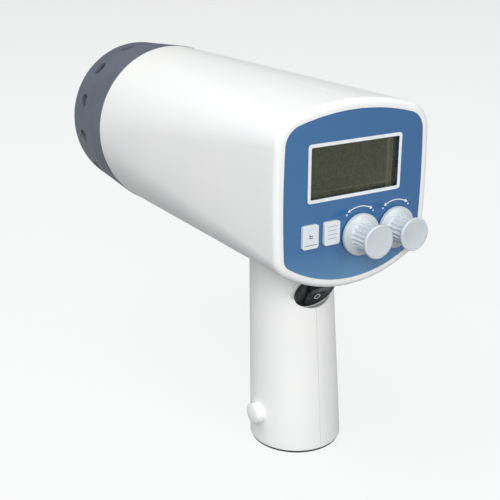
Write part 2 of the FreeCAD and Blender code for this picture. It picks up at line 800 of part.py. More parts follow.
def make_panel():
    """The rear panel with its label, the window and display, keys, knobs and board."""
    face = label_recess + label_thickness
    back = face + panel_thickness
    plate = outline_prism(face, back, rim_width + fit_gap)
    flange_start = lip_thickness + panel_flange_gap
    plate = plate.fuse(outline_prism(flange_start, back, wall + 2 * fit_gap))
    label = outline_prism(label_recess, face, rim_width + slip_gap)
    label = label.cut(rounded(window_block(0, -cut_over, face + cut_over), window_corner))

    # Window: clear glazing in a rebate behind the label, then the display module in a pocket
    bezel_start = face + glazing_thickness + fit_gap
    bezel_end = bezel_start + bezel_depth
    module_end = bezel_end + board_thickness
    glass_start = bezel_start + glass_setback
    glass_margin = glazing_margin + bezel_wall
    bezel_margin = glass_margin + bezel_wall
    plate = plate.cut(window_block(window_clearance, face - cut_over, back + cut_over))
    plate = plate.cut(window_block(glazing_margin, face - cut_over, bezel_start))
    plate = plate.cut(window_block(bezel_margin + fit_gap, bezel_start, back + cut_over))
    nodes["display_window"] = window_block(glazing_margin - slip_gap, face, face + glazing_thickness)
    bezel = window_block(bezel_margin, bezel_start, bezel_end)
    bezel = bezel.cut(window_block(bezel_sight, bezel_start - cut_over, bezel_end + cut_over))
    nodes["display_bezel"] = bezel.cut(window_block(glass_margin, glass_start, bezel_end + cut_over))
    nodes["display_glass"] = window_block(glass_margin - slip_gap, glass_start, bezel_end)
    nodes["display_module_board"] = window_block(bezel_margin, bezel_end, module_end)
    header_top = window_top - header_drop
    nodes["display_header"] = panel_block(-header_width / 2, header_width / 2, header_top - header_height,
                                          header_top, module_end, display_board_distance)

    # Keys, potentiometer holes and board posts
    for x, z in key_places.values():
        hole = rounded(key_block(x, z, key_gap, -cut_over, back + cut_over), key_corner + key_gap)
        label = label.cut(hole)
        plate = plate.cut(hole)
        plate = plate.cut(key_block(x, z, key_gap + key_flange, face + key_flange_depth, back + cut_over))
    for x, z in knob_places.values():
        hole = cylinder(bush_radius + slip_gap, back + cut_over, along(0, x, z), FRONT)
        label = label.cut(hole)
        plate = plate.cut(hole)
    for x, z in post_places:
        plate = plate.fuse(cylinder(post_radius, display_board_distance - back, along(back, x, z), FRONT))
    for x, z in post_places:
        pilot_start = back - post_pilot_depth
        plate = plate.cut(cylinder(pilot_radius, display_board_distance, along(pilot_start, x, z), FRONT))
    nodes["rear_panel"] = plate
    nodes["panel_label"] = label
    make_display_board()
    make_keys(face)
    for name, (x, z) in knob_places.items():
        make_control(name, x, z, back)
        make_knob(name, x, z)
    nodes["pot_nuts"] = group([nut(x, z) for x, z in knob_places.values()])


def make_display_board():
    start = display_board_distance
    end = start + board_thickness
    board = outline_prism(start, end, display_board_inset)
    screws = []
    for x, z in post_places:
        board = board.cut(cylinder(screw_hole_radius, board_thickness, along(start, x, z), FRONT))
        screws.append(screw(along(end, x, z), BACK, board_thickness + board_screw_bite))
    nodes["display_board"] = board
    nodes["display_board_screws"] = group(screws)
    half = chip_width / 2
    low, top = -half - chip_drop, half - chip_drop
    nodes["controller_chip"] = panel_block(-half, half, low, top, end, end + chip_height)


def make_keys(face):
    """Each key cap has a flange behind the panel and a stem that presses its switch."""
    tact_start = display_board_distance - tact_height
    half = tact_width / 2
    flange_start = face + key_flange_depth + key_flange_gap
    flange_end = flange_start + key_flange_thickness
    tacts = []
    for name, (x, z) in key_places.items():
        cap = rounded(key_block(x, z, 0, -key_proud, flange_end), key_corner)
        front = [e for e in cap.Edges if abs(e.CenterOfMass.y - rear_y + key_proud) < 0.01]
        cap = cap.makeFillet(key_edge_fillet, front)
        flange = key_block(x, z, key_flange - slip_gap, flange_start, flange_end)
        stem_length = tact_start + tact_stem_depth - flange_end
        stem = cylinder(key_stem_radius, stem_length, along(flange_end, x, z), FRONT)
        nodes[name] = merge([cap, flange, stem])
        tact = panel_block(x - half, x + half, z - half, z + half, tact_start, display_board_distance)
        well = tact_stem_depth + key_travel + tact_well_spare
        tacts.append(tact.cut(cylinder(key_stem_radius + fit_gap, well, along(tact_start, x, z), FRONT)))
    nodes["tact_switches"] = group(tacts)


def nut(x, z):
    corner = nut_flats / math.sqrt(3)
    base = along(label_recess - nut_thickness, x, z)
    turns = [math.radians(60 * i) for i in range(7)]
    points = [base + V(corner * math.cos(a), 0, corner * math.sin(a)) for a in turns]
    shape = Part.Face(Part.makePolygon(points)).extrude(V(0, nut_thickness, 0))
    return shape.cut(cylinder(bush_radius, nut_thickness, base, FRONT))


def shaft_bar(x, z, radius, start, end, flat_end):
    """A round bar on a control's axis, with a flat filed on it from its start to flat_end."""
    bar = cylinder(radius, end - start, along(start, x, z), FRONT)
    flat = z + radius - shaft_flat
    return bar.cut(block(along(start, x - radius, flat), along(flat_end, x + radius, z + 2 * radius)))


def make_control(name, x, z, back):
    """A potentiometer behind the panel, with its bush through it and its shaft in the bush."""
    bush_start = label_recess - nut_thickness
    body = cylinder(pot_radius, pot_depth, along(back, x, z), FRONT)
    bush = cylinder(bush_radius, back - bush_start, along(bush_start, x, z), FRONT)
    legs = []
    for side in (-1, 0, 1):
        middle, top = x + side * pot_leg_spacing, z - pot_radius + pot_leg_reach
        legs.append(panel_block(middle - pot_leg_width / 2, middle + pot_leg_width / 2,
                                top - 2 * pot_leg_reach, top, back + pot_leg_setback,
                                back + pot_leg_setback + pot_leg_thickness))
    pot = merge([body, bush] + legs)
    bore_depth = back - bush_start + shaft_seat
    bore = cylinder(shaft_radius + shaft_clearance, bore_depth, along(bush_start, x, z), FRONT)
    nodes[name + "_pot"] = pot.cut(bore)
    shaft_end = back + shaft_seat - shaft_clearance
    nodes[name + "_shaft"] = shaft_bar(x, z, shaft_radius, -shaft_reach, shaft_end, bush_start - slip_gap)


def make_knob(name, x, z):
    """A knob with a wide foot, a ribbed waist and a flared cap, pushed on its shaft."""
    foot = label_recess - knob_gap
    foot_front = foot - knob_foot_thickness
    end = -knob_length
    waist, cap = knob_waist_radius, knob_cap_radius
    profile = (
        (foot, knob_foot_radius), (foot_front + knob_edge, knob_foot_radius),
        (foot_front + 0.2, knob_foot_radius - 0.25), (foot_front, knob_foot_radius - knob_edge),
        (foot_front - 0.5, waist + knob_flare), (foot_front - 1.6, waist + 0.4), (foot_front - 3.0, waist),
        (end + 4.5, waist), (end + 2.6, waist + 0.5), (end + 1.5, cap - 0.15), (end + 1.0, cap),
        (end + 0.45, cap), (end + 0.1, cap - 0.3), (end, cap - knob_edge), (end, 0), (foot, 0))
    knob = spun(profile, along(0, x, z), FRONT)
    rib_start, rib_end = end + 2.4, foot_front - 1.4
    grooves = []
    for i in range(knob_rib_count):
        angle = 2 * math.pi * i / knob_rib_count
        r = waist + knob_rib_sink
        at = along(rib_start, x + r * math.cos(angle), z + r * math.sin(angle))
        grooves.append(cylinder(knob_rib_depth, rib_end - rib_start, at, FRONT))
    knob = knob.cut(group(grooves))
    socket_end = foot - knob_socket_depth
    knob = knob.cut(cylinder(knob_socket_radius, knob_socket_depth, along(socket_end, x, z), FRONT))
    bore_start = -shaft_reach - shaft_end_gap
    nodes[name + "_knob"] = knob.cut(shaft_bar(x, z, shaft_radius + wire_gap, bore_start, foot, socket_end))


def make_switch():
    facet = -switch_bezel_thickness
    bezel = switch_cylinder(switch_bezel_radius, facet, 0)
    front = [e for e in bezel.Edges if e.Closed and (e.CenterOfMass - switch_face).Length < 0.01]
    bezel = bezel.makeFillet(switch_edge_fillet, front)
    body = switch_cylinder(switch_body_radius, facet - switch_body_depth, facet)
    case = merge([bezel, body])
    pivot = on_switch(-rocker_pivot_depth)
    throat_floor = -rocker_pivot_depth - rocker_swing_radius - rocker_side_gap
    throat = switch_cylinder(switch_throat_radius, throat_floor, cut_over)
    reach = rocker_half_width + rocker_side_gap
    slab = cylinder(2 * switch_throat_radius, 2 * reach, pivot + LEFT * reach, RIGHT)
    case = case.cut(throat.common(slab))
    pin_bore = rocker_half_width + pin_length + rocker_side_gap
    case = case.cut(cylinder(pin_radius + pin_clearance, 2 * pin_bore, pivot + LEFT * pin_bore, RIGHT))
    back = facet - switch_body_depth
    blades = []
    for offset in (-blade_spacing, 0.0, blade_spacing):
        middle = on_switch(back - blade_length, offset) - switch_down * (blade_thickness / 2)
        blade = oriented_block(middle, RIGHT, switch_down, switch_out,
                               blade_width, blade_thickness, blade_length + blade_root)
        case = case.cut(blade)
        blades.append(blade)
    nodes["switch_housing"] = case
    nodes["switch_terminals"] = group(blades)

    # The rocker in its middle position, then tipped to off
    plan = switch_cylinder(rocker_plan_radius, -rocker_pivot_depth - rocker_depth, rocker_swing_radius)
    swing = cylinder(rocker_swing_radius, 2 * rocker_half_width, pivot + LEFT * rocker_half_width, RIGHT)
    paddle = plan.common(swing)
    tip = math.radians(rocker_throw / 2)
    crest = on_switch(rocker_crown - rocker_pivot_depth)
    for side in (-1, 1):
        slope = switch_down * (side * math.cos(tip)) + switch_out * math.sin(tip)
        normal = switch_out * math.cos(tip) - switch_down * (side * math.sin(tip))
        size = 4 * rocker_swing_radius
        paddle = paddle.cut(oriented_block(crest - slope, RIGHT, slope, normal, size, size, size))
    reach = rocker_half_width + pin_length
    paddle = merge([paddle, cylinder(pin_radius, 2 * reach, pivot + LEFT * reach, RIGHT)])
    paddle.rotate(pivot, RIGHT, rocker_throw / 2)
    nodes["rocker"] = paddle


def make_power_inlet():
    """A round socket for a low-voltage plug, with a contact pin, and the cover pushed into it."""
    mouth = V(-jack_boss_face, 0, jack_height)
    face = mouth + LEFT * inlet_cover_thickness
    cover = cylinder(jack_boss_radius - slip_gap, inlet_cover_thickness, face, RIGHT)
    rim = [e for e in cover.Edges if (e.CenterOfMass - face).Length < 0.01]
    cover = cover.makeFillet(inlet_cover_fillet, rim)
    stem = tube(jack_hole_radius - slip_gap, jack_pin_radius + fit_gap, inlet_cover_stem, mouth, RIGHT)
    nodes["inlet_cover"] = merge([cover, stem])
    start = mouth + RIGHT * jack_setback
    body = tube(jack_body_radius, jack_pin_radius, jack_depth, start, RIGHT)
    nodes["power_jack"] = body.cut(cylinder(jack_hole_radius, jack_hole_depth, start, RIGHT))
    pin_reach = jack_setback + jack_depth - jack_pin_setback
    nodes["jack_pin"] = cylinder(jack_pin_radius, pin_reach, mouth + RIGHT * jack_pin_setback, RIGHT)


def make_battery():
    """Four cells side by side, standing between two end caps."""
    middle = handle_centre(cell_floor + cell_length / 2)
    cells = []
    for sx in (-1, 1):
        for sy in (-1, 1):
            corner = V(middle.x + sx * cell_offset, middle.y + sy * cell_offset, cell_floor)
            cells.append(cylinder(cell_radius, cell_length, corner, UP))
    nodes["battery_cells"] = group(cells)
    lower, upper = cell_floor - pack_cap_thickness, cell_floor + cell_length
    for name, z in (("battery_lower_cap", lower), ("battery_upper_cap", upper)):
        nodes[name] = cylinder(pack_radius, pack_cap_thickness, V(middle.x, middle.y, z), UP)


def make_main_board():
    x = main_board_x
    half = main_board_height / 2
    end = main_board_start + main_board_length
    board = panel_block(x - board_thickness, x, -half, half, main_board_start, end)
    screws = []
    for place in board_post_places():
        board = board.cut(cylinder(screw_hole_radius, board_thickness, place, RIGHT))
        screws.append(screw(place + RIGHT * board_thickness, LEFT, board_thickness + main_screw_bite))
    nodes["main_board"] = board
    nodes["main_board_screws"] = group(screws)
    make_transformer(x)
    cans = []
    for side in (-1, 1):
        base = along(storage_cap_place, x, side * storage_cap_offset)
        can = cylinder(storage_cap_radius, storage_cap_length, base, RIGHT)
        top = [e for e in can.Edges if (e.CenterOfMass - base - RIGHT * storage_cap_length).Length < 0.01]
        cans.append(can.makeFillet(storage_cap_fillet, top))
    nodes["storage_capacitors"] = group(cans)
    depth, length, height = flash_cap_size
    low, top = flash_cap_place - length / 2, height / 2 - flash_cap_drop
    nodes["flash_capacitor"] = panel_block(x, x + depth, top - height, top, low, low + length)
    make_heat_sink(x)
    make_fuse(x)


def make_transformer(x):
    """A core with two windows, and the winding on its middle limb."""
    low, high = core_place - core_length / 2, core_place + core_length / 2
    core = panel_block(x, x + core_depth, -core_height / 2, core_height / 2, low, high)
    limb, window = core_limb, core_height / 2 - core_limb
    near, far = x - cut_over, x + core_depth + cut_over
    for side in (-1, 1):
        z0, z1 = sorted((side * limb / 2, side * window))
        core = core.cut(panel_block(near, far, z0, z1, low + limb, high - limb))
    nodes["transformer_core"] = core
    g = winding_gap
    coil_end, coil_top = x + core_depth + winding_wall, window - g
    coil = panel_block(x + g, coil_end, -coil_top, coil_top, low + limb + g, high - limb - g)
    limb_space = panel_block(near, x + core_depth + g, -limb / 2 - g, limb / 2 + g, low, high)
    nodes["transformer_winding"] = coil.cut(limb_space)


def make_heat_sink(x):
    depth, length, height = heat_sink_size
    low = heat_sink_place - length / 2
    sink = panel_block(x, x + depth, -height / 2, height / 2, low, low + length)
    pitch = height / heat_sink_fins
    half_gap = pitch * fin_gap_share / 2
    for i in range(1, heat_sink_fins):
        z = -height / 2 + pitch * i
        sink = sink.cut(panel_block(x - cut_over, x + depth + cut_over, z - half_gap, z + half_gap,
                                    low + heat_sink_back, low + length + cut_over))
    nodes["heat_sink"] = sink
    width, thick, tall = transistor_size
    foot = x + transistor_lift
    nodes["transistor"] = panel_block(foot, foot + tall, -width / 2, width / 2, low - thick, low)


def make_fuse(x):
    centre = x + fuse_radius + clip_thickness + fuse_lift
    low = fuse_place - fuse_length / 2
    nodes["fuse"] = cylinder(fuse_radius, fuse_length, along(low, centre, fuse_height), FRONT)
    inner = fuse_radius + wire_gap
    outer = inner + clip_thickness
    clips = []
    for start in (low + clip_inset, low + fuse_length - clip_inset - clip_width):
        end = start + clip_width
        ring = tube(outer, inner, clip_width, along(start, centre, fuse_height), FRONT)
        mouth = panel_block(centre, centre + 2 * outer, fuse_height - clip_mouth / 2,
                            fuse_height + clip_mouth / 2, start, end)
        foot = panel_block(x, centre - inner - slip_gap, fuse_height - clip_foot_width / 2,
                           fuse_height + clip_foot_width / 2, start, end)
        clips.append(merge([ring.cut(mouth), foot]))
    nodes["fuse_clips"] = group(clips)


make_shells()
make_foot()
make_hood()
make_lamp()
make_panel()
make_switch()
make_power_inlet()
make_battery()
make_main_board()

os.makedirs("parts", exist_ok=True)
for name, shape in nodes.items():
    if not shape.isValid():
        print("not valid:", name)
    print(name, len(shape.Solids), round(shape.Volume, 1))
    shape.exportStep("parts/" + name + ".step")
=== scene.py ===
import bmesh
import bpy
import json
import math
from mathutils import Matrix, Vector


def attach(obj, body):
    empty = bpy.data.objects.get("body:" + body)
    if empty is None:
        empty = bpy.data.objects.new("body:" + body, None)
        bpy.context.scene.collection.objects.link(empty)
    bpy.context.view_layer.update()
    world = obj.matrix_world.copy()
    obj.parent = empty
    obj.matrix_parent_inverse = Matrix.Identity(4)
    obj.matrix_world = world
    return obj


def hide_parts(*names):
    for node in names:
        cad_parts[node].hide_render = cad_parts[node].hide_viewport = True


# Looks of a hand-held xenon stroboscope. Shapes are built in millimetres in the frame of the
# model (origin under the handle, +Z up, +Y toward the lamp) and turned into metres at the end.
# A distance "along" the barrel is counted forward from the rear rim.

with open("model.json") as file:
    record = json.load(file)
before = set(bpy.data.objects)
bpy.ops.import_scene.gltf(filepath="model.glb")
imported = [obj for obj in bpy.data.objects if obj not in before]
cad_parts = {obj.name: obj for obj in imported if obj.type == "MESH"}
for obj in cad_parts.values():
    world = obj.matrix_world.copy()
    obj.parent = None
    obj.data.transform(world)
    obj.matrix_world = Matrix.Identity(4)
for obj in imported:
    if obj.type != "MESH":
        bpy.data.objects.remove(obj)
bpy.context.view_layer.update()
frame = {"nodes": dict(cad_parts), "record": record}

MM = 0.001
RIGHT = Vector((1, 0, 0))
FRONT = Vector((0, 1, 0))
UP = Vector((0, 0, 1))

# Housing
rear_y = -44.5
axis_z = 143.4
overall_length = 230.0
hood_length = 48.4
hood_start = overall_length - hood_length
wall = 2.4
seam_gap = 0.16
groove_width = 0.26
groove_depth = 0.12
rear_half_width = 43.3
rear_top = 44.1
rear_bottom = 43.8
rear_top_radius = 119.2
rear_upper_corner = 14.0
rear_side_radius = 500.0
rear_lower_corner = 10.2
rear_bottom_radius = 69.2
barrel_radius = 48.0
rear_fillet = 2.8
rim_width = 4.2
lip_thickness = 3.4
shoulder = 4.0
spigot_length = 12.0
spigot_radius = 45.9
spigot_wall = 2.5
cut_over = 1.0
boss_radius = 3.6
counterbore_radius = 3.2
boss_web = 6.0
barrel_bosses = ((24.0, 35.0), (92.0, 36.0), (150.0, 36.0), (98.0, -36.0), (150.0, -36.0))
handle_boss = Vector((0, 8.0, 70.5))

# Handle
foot_z = 1.2
handle_foot_radius = 24.2
handle_top_radius = 21.4
handle_top_z = 98.3
handle_rake = 6.4
handle_fillet = 0.6
handle_reach = 104.0

# Hood
hood_rear_radius = 48.3
hood_front_radius = 45.4
hood_gap = 0.3
hood_wall = 2.2
hood_lip = 2.4
hood_lip_radius = 40.6
vent_count = 13
vent_radius = 4.2
vent_flare = 0.5
vent_setback = 15.3
vent_first_angle = 106.5

# Panel
label_face = 0.1
print_rise = 0.05
window_half_width = 24.6
window_bottom = 1.4
window_top = 25.0
window_corner = 0.6
border_width = 1.6
knob_places = {"fine": (3.4, -18.7), "coarse": (24.4, -18.7)}
key_places = {"left_key": (-24.9, -15.3), "right_key": (-13.1, -15.3)}
key_proud = 1.5

# Knobs
knob_foot_radius = 10.1
knob_foot_thickness = 2.3
knob_waist = 6.7
knob_cap = 8.0
knob_length = 14.8
knob_gap = 0.4
rib_count = 20
rib_depth = 0.75
rib_sink = 0.1

# Switch: the middle of its face, and how far the face looks down
switch_face = Vector((0, -16.8, 87.2))
switch_tilt = math.radians(28)
switch_out = Vector((0, -math.cos(switch_tilt), -math.sin(switch_tilt)))
switch_down = Vector((0, math.sin(switch_tilt), -math.cos(switch_tilt)))
bezel_radius = 11.75
bezel_thickness = 2.0
pocket_clearance = 0.25
switch_wall = 1.2
switch_body_radius = 10.1
switch_body_depth = 14.0
cup_reach = 7.2
pocket_reach = 10.8
pocket_rise = math.radians(17)
rocker_pivot_depth = 2.0
rocker_crown = 3.2
rocker_throw = math.radians(18)

# Power inlet
jack_mouth = Vector((-27.2, 0, 17.7))
jack_boss_radius = 5.5
jack_boss_fillet = 0.6
jack_boss_flare = 0.04
jack_bore_radius = 3.8
jack_depth = 10.5
cover_stem = 4.0
cover_stem_radius = 2.65
cover_stem_bore = 1.2


# Mesh helpers, all in millimetres

def along(distance, x=0.0, z=0.0):
    return Vector((x, rear_y + distance, axis_z + z))


def mesh_of(name, verts, faces):
    mesh = bpy.data.meshes.new(name)
    mesh.from_pydata([tuple(v) for v in verts], [], faces)
    work = bmesh.new()
    work.from_mesh(mesh)
    bmesh.ops.recalc_face_normals(work, faces=work.faces)
    work.to_mesh(mesh)
    work.free()
    return mesh


def skin(name, rings, capped=True):
    """A closed solid through rings of equal length: capped at its ends, or closed on itself."""
    size = len(rings[0])
    verts = [p for ring in rings for p in ring]
    pairs = [(k, k + 1) for k in range(len(rings) - 1)]
    faces = []
    if capped:
        faces = [list(range(size)), list(range(len(verts) - size, len(verts)))]
    else:
        pairs.append((len(rings) - 1, 0))
    for a, b in pairs:
        for i in range(size):
            j = (i + 1) % size
            faces.append((a * size + i, a * size + j, b * size + j, b * size + i))
    made = bpy.data.objects.new(name, mesh_of(name, verts, faces))
    bpy.context.scene.collection.objects.link(made)
    return made


def lathe(name, rows, origin, axis, segments=96, capped=True, groove=None):
    """A turned solid: rows are (distance along the axis, radius)."""
    side = FRONT if abs(axis.x) > 0.9 else RIGHT
    side = (side - axis * side.dot(axis)).normalized()
    across = axis.cross(side)
    rings = []
    for distance, radius in rows:
        ring = []
        for i in range(segments):
            angle = 2 * math.pi * i / segments
            r = radius - groove(distance, angle) if groove else radius
            ring.append(origin + axis * distance + (side * math.cos(angle) + across * math.sin(angle)) * r)
        rings.append(ring)
    return skin(name, rings, capped)


def block(low, high):
    rings = []
    for y in (low[1], high[1]):
        rings.append([Vector((x, y, z)) for x, z in ((low[0], low[2]), (high[0], low[2]),
                                                     (high[0], high[2]), (low[0], high[2]))])
    return skin("block", rings)


def rounded(corners, steps=6):
    """Points of a closed outline whose corners (a, b, radius) are rounded."""
    points = []
    for i, (a, b, radius) in enumerate(corners):
        here = Vector((a, b))
        if radius == 0:
            points.append((a, b))
            continue
        back = (Vector(corners[i - 1][:2]) - here).normalized()
        ahead = (Vector(corners[(i + 1) % len(corners)][:2]) - here).normalized()
        half = back.angle(ahead) / 2
        centre = here + (back + ahead).normalized() * (radius / math.sin(half))
        start = here + back * (radius / math.tan(half)) - centre
        sweep = start.angle_signed(here + ahead * (radius / math.tan(half)) - centre)
        for k in range(steps + 1):
            turn = -sweep * k / steps
            x = start.x * math.cos(turn) - start.y * math.sin(turn)
            y = start.x * math.sin(turn) + start.y * math.cos(turn)
            points.append((centre.x + x, centre.y + y))
    return points


def combine(target, tool, operation):
    """Joins a tool to a shape, cuts it out of it or keeps what they share, and removes the tool."""
    modifier = target.modifiers.new("combine", "BOOLEAN")
    modifier.object = tool
    modifier.operation = operation
    modifier.solver = "MANIFOLD"
    graph = bpy.context.evaluated_depsgraph_get()
    result = bpy.data.meshes.new_from_object(target.evaluated_get(graph))
    target.modifiers.clear()
    target.data = result
    bpy.data.objects.remove(tool)
    return target


def copy_of(thing):
    twin = thing.copy()
    twin.data = thing.data.copy()
    bpy.context.scene.collection.objects.link(twin)
    return twin


def joined(name, things):
    work = bmesh.new()
    for thing in things:
        work.from_mesh(thing.data)
        bpy.data.objects.remove(thing)
    mesh = bpy.data.meshes.new(name)
    work.to_mesh(mesh)
    work.free()
    made = bpy.data.objects.new(name, mesh)
    bpy.context.scene.collection.objects.link(made)
    return made


def piece(thing, name, look, body, replaced=(), sharp=32):
    """Names a finished shape, turns it into metres and hands it to its body."""
    thing.name = name
    thing.data.name = name
    for vertex in thing.data.vertices:
        vertex.co = vertex.co * MM
    thing.data.shade_smooth()
    thing.data.set_sharp_from_angle(angle=math.radians(sharp))
    thing.data.materials.clear()
    thing.data.materials.append(look)
    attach(thing, body)
    if replaced:
        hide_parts(*replaced)
    return thing


# Housing: the outline of the barrel is five arcs a side, each given by its first and last
# normal angle, so that every section and every inset is an outline of the same kind

def outline_arcs():
    def angle_from_width(big, small, side):
        reach = rear_half_width - rear_side_radius * (1 - math.cos(side)) - small * math.cos(side)
        return math.acos(reach / (big - small))

    def height(side):
        top = math.sin(angle_from_width(rear_top_radius, rear_upper_corner, side))
        low = math.sin(angle_from_width(rear_bottom_radius, rear_lower_corner, side))
        bend = math.sin(side)
        return (rear_top_radius * (1 - top) + rear_upper_corner * (top - bend)
                + 2 * rear_side_radius * bend
                + rear_lower_corner * (low - bend) + rear_bottom_radius * (1 - low))

    low_side, high_side = 0.0, math.radians(10)
    for _ in range(50):
        side = (low_side + high_side) / 2
        if height(side) < rear_top + rear_bottom:
            low_side = side
        else:
            high_side = side
    top = angle_from_width(rear_top_radius, rear_upper_corner, side)
    low = angle_from_width(rear_bottom_radius, rear_lower_corner, side)
    runs = ((rear_top_radius, math.pi / 2, top, 12), (rear_upper_corner, top, side, 28),
            (rear_side_radius, side, -side, 12), (rear_lower_corner, -side, -low, 20),
            (rear_bottom_radius, -low, -math.pi / 2, 16))
    arcs = []
    x, z = 0.0, rear_top
    for radius, first, last, steps in runs:
        cx, cz = x - radius * math.cos(first), z - radius * math.sin(first)
        arcs.append((cx, cz, radius, first, last, steps))
        x, z = cx + radius * math.cos(last), cz + radius * math.sin(last)
    return arcs


rear_arcs = outline_arcs()


def outline(distance, inset, like=None):
    """One ring of points of the barrel at a distance along it, drawn in by inset."""
    share = min(distance if like is None else like, hood_start) / hood_start
    half = []
    for cx, cz, radius, first, last, steps in rear_arcs:
        r = radius * (1 - share) + barrel_radius * share - inset
        for k in range(steps):
            angle = first + (last - first) * k / steps
            half.append((cx * (1 - share) + r * math.cos(angle), cz * (1 - share) + r * math.sin(angle)))
    bottom = -rear_bottom * (1 - share) - barrel_radius * share + inset
    mirrored = [(-x, z) for x, z in reversed(half[1:])]
    return [along(distance, x, z) for x, z in half + [(0.0, bottom)] + mirrored]


def barrel_rows(fillet_steps=8, pitch=4.0):
    rows = [(rear_fillet * (1 - math.sin(t)), rear_fillet * (1 - math.cos(t)))
            for t in [math.pi / 2 * (1 - k / fillet_steps) for k in range(fillet_steps + 1)]]
    count = round((hood_start - rear_fillet) / pitch)
    return rows + [(rear_fillet + (hood_start - rear_fillet) * k / count, 0.0) for k in range(1, count + 1)]


def barrel_between(start, end, inset, like=None, pieces=8):
    places = [start + (end - start) * k / pieces for k in range(pieces + 1)]
    return skin("barrel", [outline(d, inset, like) for d in places])


def handle_ring(z, inset, segments=96):
    share = (z - foot_z) / (handle_top_z - foot_z)
    radius = handle_foot_radius + (handle_top_radius - handle_foot_radius) * share - inset
    turns = [2 * math.pi * (i + 0.5) / segments for i in range(segments)]
    return [Vector((radius * math.cos(a), handle_rake * share + radius * math.sin(a), z)) for a in turns]


def handle_solid(low, high, inset, fillet=0.0, pitch=4.0, fillet_steps=6):
    rings = []
    if fillet:
        for k in range(fillet_steps):
            turn = math.pi / 2 * (1 - k / fillet_steps)
            rise, draw = fillet * (1 - math.sin(turn)), fillet * (1 - math.cos(turn))
            rings.append(handle_ring(low + rise, inset + draw))
    start = low + fillet
    count = round((high - start) / pitch)
    rings += [handle_ring(start + (high - start) * k / count, inset) for k in range(count + 1)]
    return skin("handle", rings)


def switch_cylinder(radius, start, end):
    """A cylinder about the switch axis; start and end are counted outward from its face."""
    return lathe("switch", ((start, radius), (end, radius)), switch_face, switch_out, 128)


def switch_ring(radius, outward, segments=128):
    turns = [2 * math.pi * i / segments for i in range(segments)]
    return [switch_face + switch_out * outward + (RIGHT * math.cos(a) + switch_down * math.sin(a)) * radius
            for a in turns]


def rod(radius, start, end, centre, segments=48):
    """A cylinder across the housing, from x = start to x = end."""
    return lathe("rod", ((start, radius), (end, radius)), Vector((0, centre.y, centre.z)), RIGHT, segments)


def seam_groove(first, last, outward):
    """A V groove along a straight line of the housing's middle plane."""
    half = groove_width / 2
    rings = []
    for point in (first, last):
        rings.append([point + RIGHT * half + outward, point - RIGHT * half + outward,
                      point - RIGHT * half, point - outward * groove_depth, point + RIGHT * half])
    return skin("groove", rings)


def housing():
    barrel = skin("barrel", [outline(d, inset) for d, inset in barrel_rows()])
    body = combine(copy_of(barrel), handle_solid(foot_z, handle_reach, 0.0, handle_fillet), "UNION")
    facet = -bezel_thickness
    pocket_radius = bezel_radius + pocket_clearance
    cup_radius = pocket_radius + switch_wall
    cup_back = facet - switch_wall
    flare = [(k * 0.5, jack_boss_radius + jack_boss_flare * max(k * 0.5 - jack_boss_fillet, 0) ** 2)
             for k in range(2, 13)]
    tip = rounded(((0, 0, 0), (0, jack_boss_radius, jack_boss_fillet), (0.9, jack_boss_radius, 0)))
    boss_rows = [(distance, max(radius, 0.5)) for distance, radius in tip] + flare
    boss_rows.append((-jack_mouth.x, flare[-1][1]))
    outer = combine(body, switch_cylinder(cup_radius, cup_back, facet), "UNION")
    combine(outer, lathe("boss", boss_rows, jack_mouth, RIGHT, 64), "UNION")

    shell = copy_of(outer)
    cavity_end = hood_start - shoulder
    combine(shell, barrel_between(lip_thickness, cavity_end, wall), "DIFFERENCE")
    combine(shell, handle_solid(foot_z - cut_over, handle_reach + wall, wall), "DIFFERENCE")
    combine(shell, barrel_between(-cut_over, lip_thickness + cut_over, rim_width, 0.0, 1), "DIFFERENCE")

    # Screw bosses, the cup round the switch, the inlet's cup and the spigot for the hood
    places = [along(d, 0, z) for d, z in barrel_bosses] + [handle_boss]
    inner = switch_cylinder(cup_radius, cup_back, cup_reach)
    for place in places:
        combine(inner, rod(boss_radius, -barrel_radius, barrel_radius, place), "UNION")
    combine(inner, rod(jack_boss_radius, jack_mouth.x, jack_mouth.x + jack_depth, jack_mouth), "UNION")
    combine(inner, outer, "INTERSECT")
    combine(shell, inner, "UNION")
    spigot_rows = ((cavity_end, spigot_radius), (hood_start + spigot_length, spigot_radius),
                   (hood_start + spigot_length, spigot_radius - spigot_wall),
                   (cavity_end, spigot_radius - spigot_wall))
    combine(shell, lathe("spigot", spigot_rows, along(0), FRONT, 144, capped=False), "UNION")

    # Openings: the switch's pocket is straight as far as its face, then opens out and upward
    opening = Vector((0, -math.cos(pocket_rise), math.sin(pocket_rise))) * pocket_reach
    facing, mouth = [switch_ring(pocket_radius, place) for place in (facet, 0.0)]
    pocket = skin("pocket", [facing, mouth, [point + opening for point in mouth]])
    combine(pocket, barrel, "DIFFERENCE")
    combine(shell, pocket, "DIFFERENCE")
    combine(shell, switch_cylinder(switch_body_radius, cup_back - switch_body_depth, 0), "DIFFERENCE")
    bore_end = jack_mouth.x + jack_depth + cut_over
    combine(shell, rod(jack_bore_radius, jack_mouth.x - cut_over, bore_end, jack_mouth), "DIFFERENCE")
    for place in places:
        combine(shell, rod(counterbore_radius, boss_web, 2 * barrel_radius, place), "DIFFERENCE")

    # The seam's fine groove along the top and bottom of the barrel and both sides of the handle
    low, high = [sorted(p.y for p in handle_ring(z, 0)) for z in (foot_z, handle_top_z)]
    lines = ((along(0, 0, rear_top), along(hood_start, 0, barrel_radius), UP),
             (along(0, 0, -rear_bottom), along(hood_start, 0, -barrel_radius), -UP),
             (Vector((0, low[0], foot_z)), Vector((0, high[0], handle_top_z)), -FRONT),
             (Vector((0, low[-1], foot_z)), Vector((0, high[-1], handle_top_z)), FRONT))
    for first, last, outward in lines:
        combine(shell, seam_groove(first, last, outward), "DIFFERENCE")
    return shell


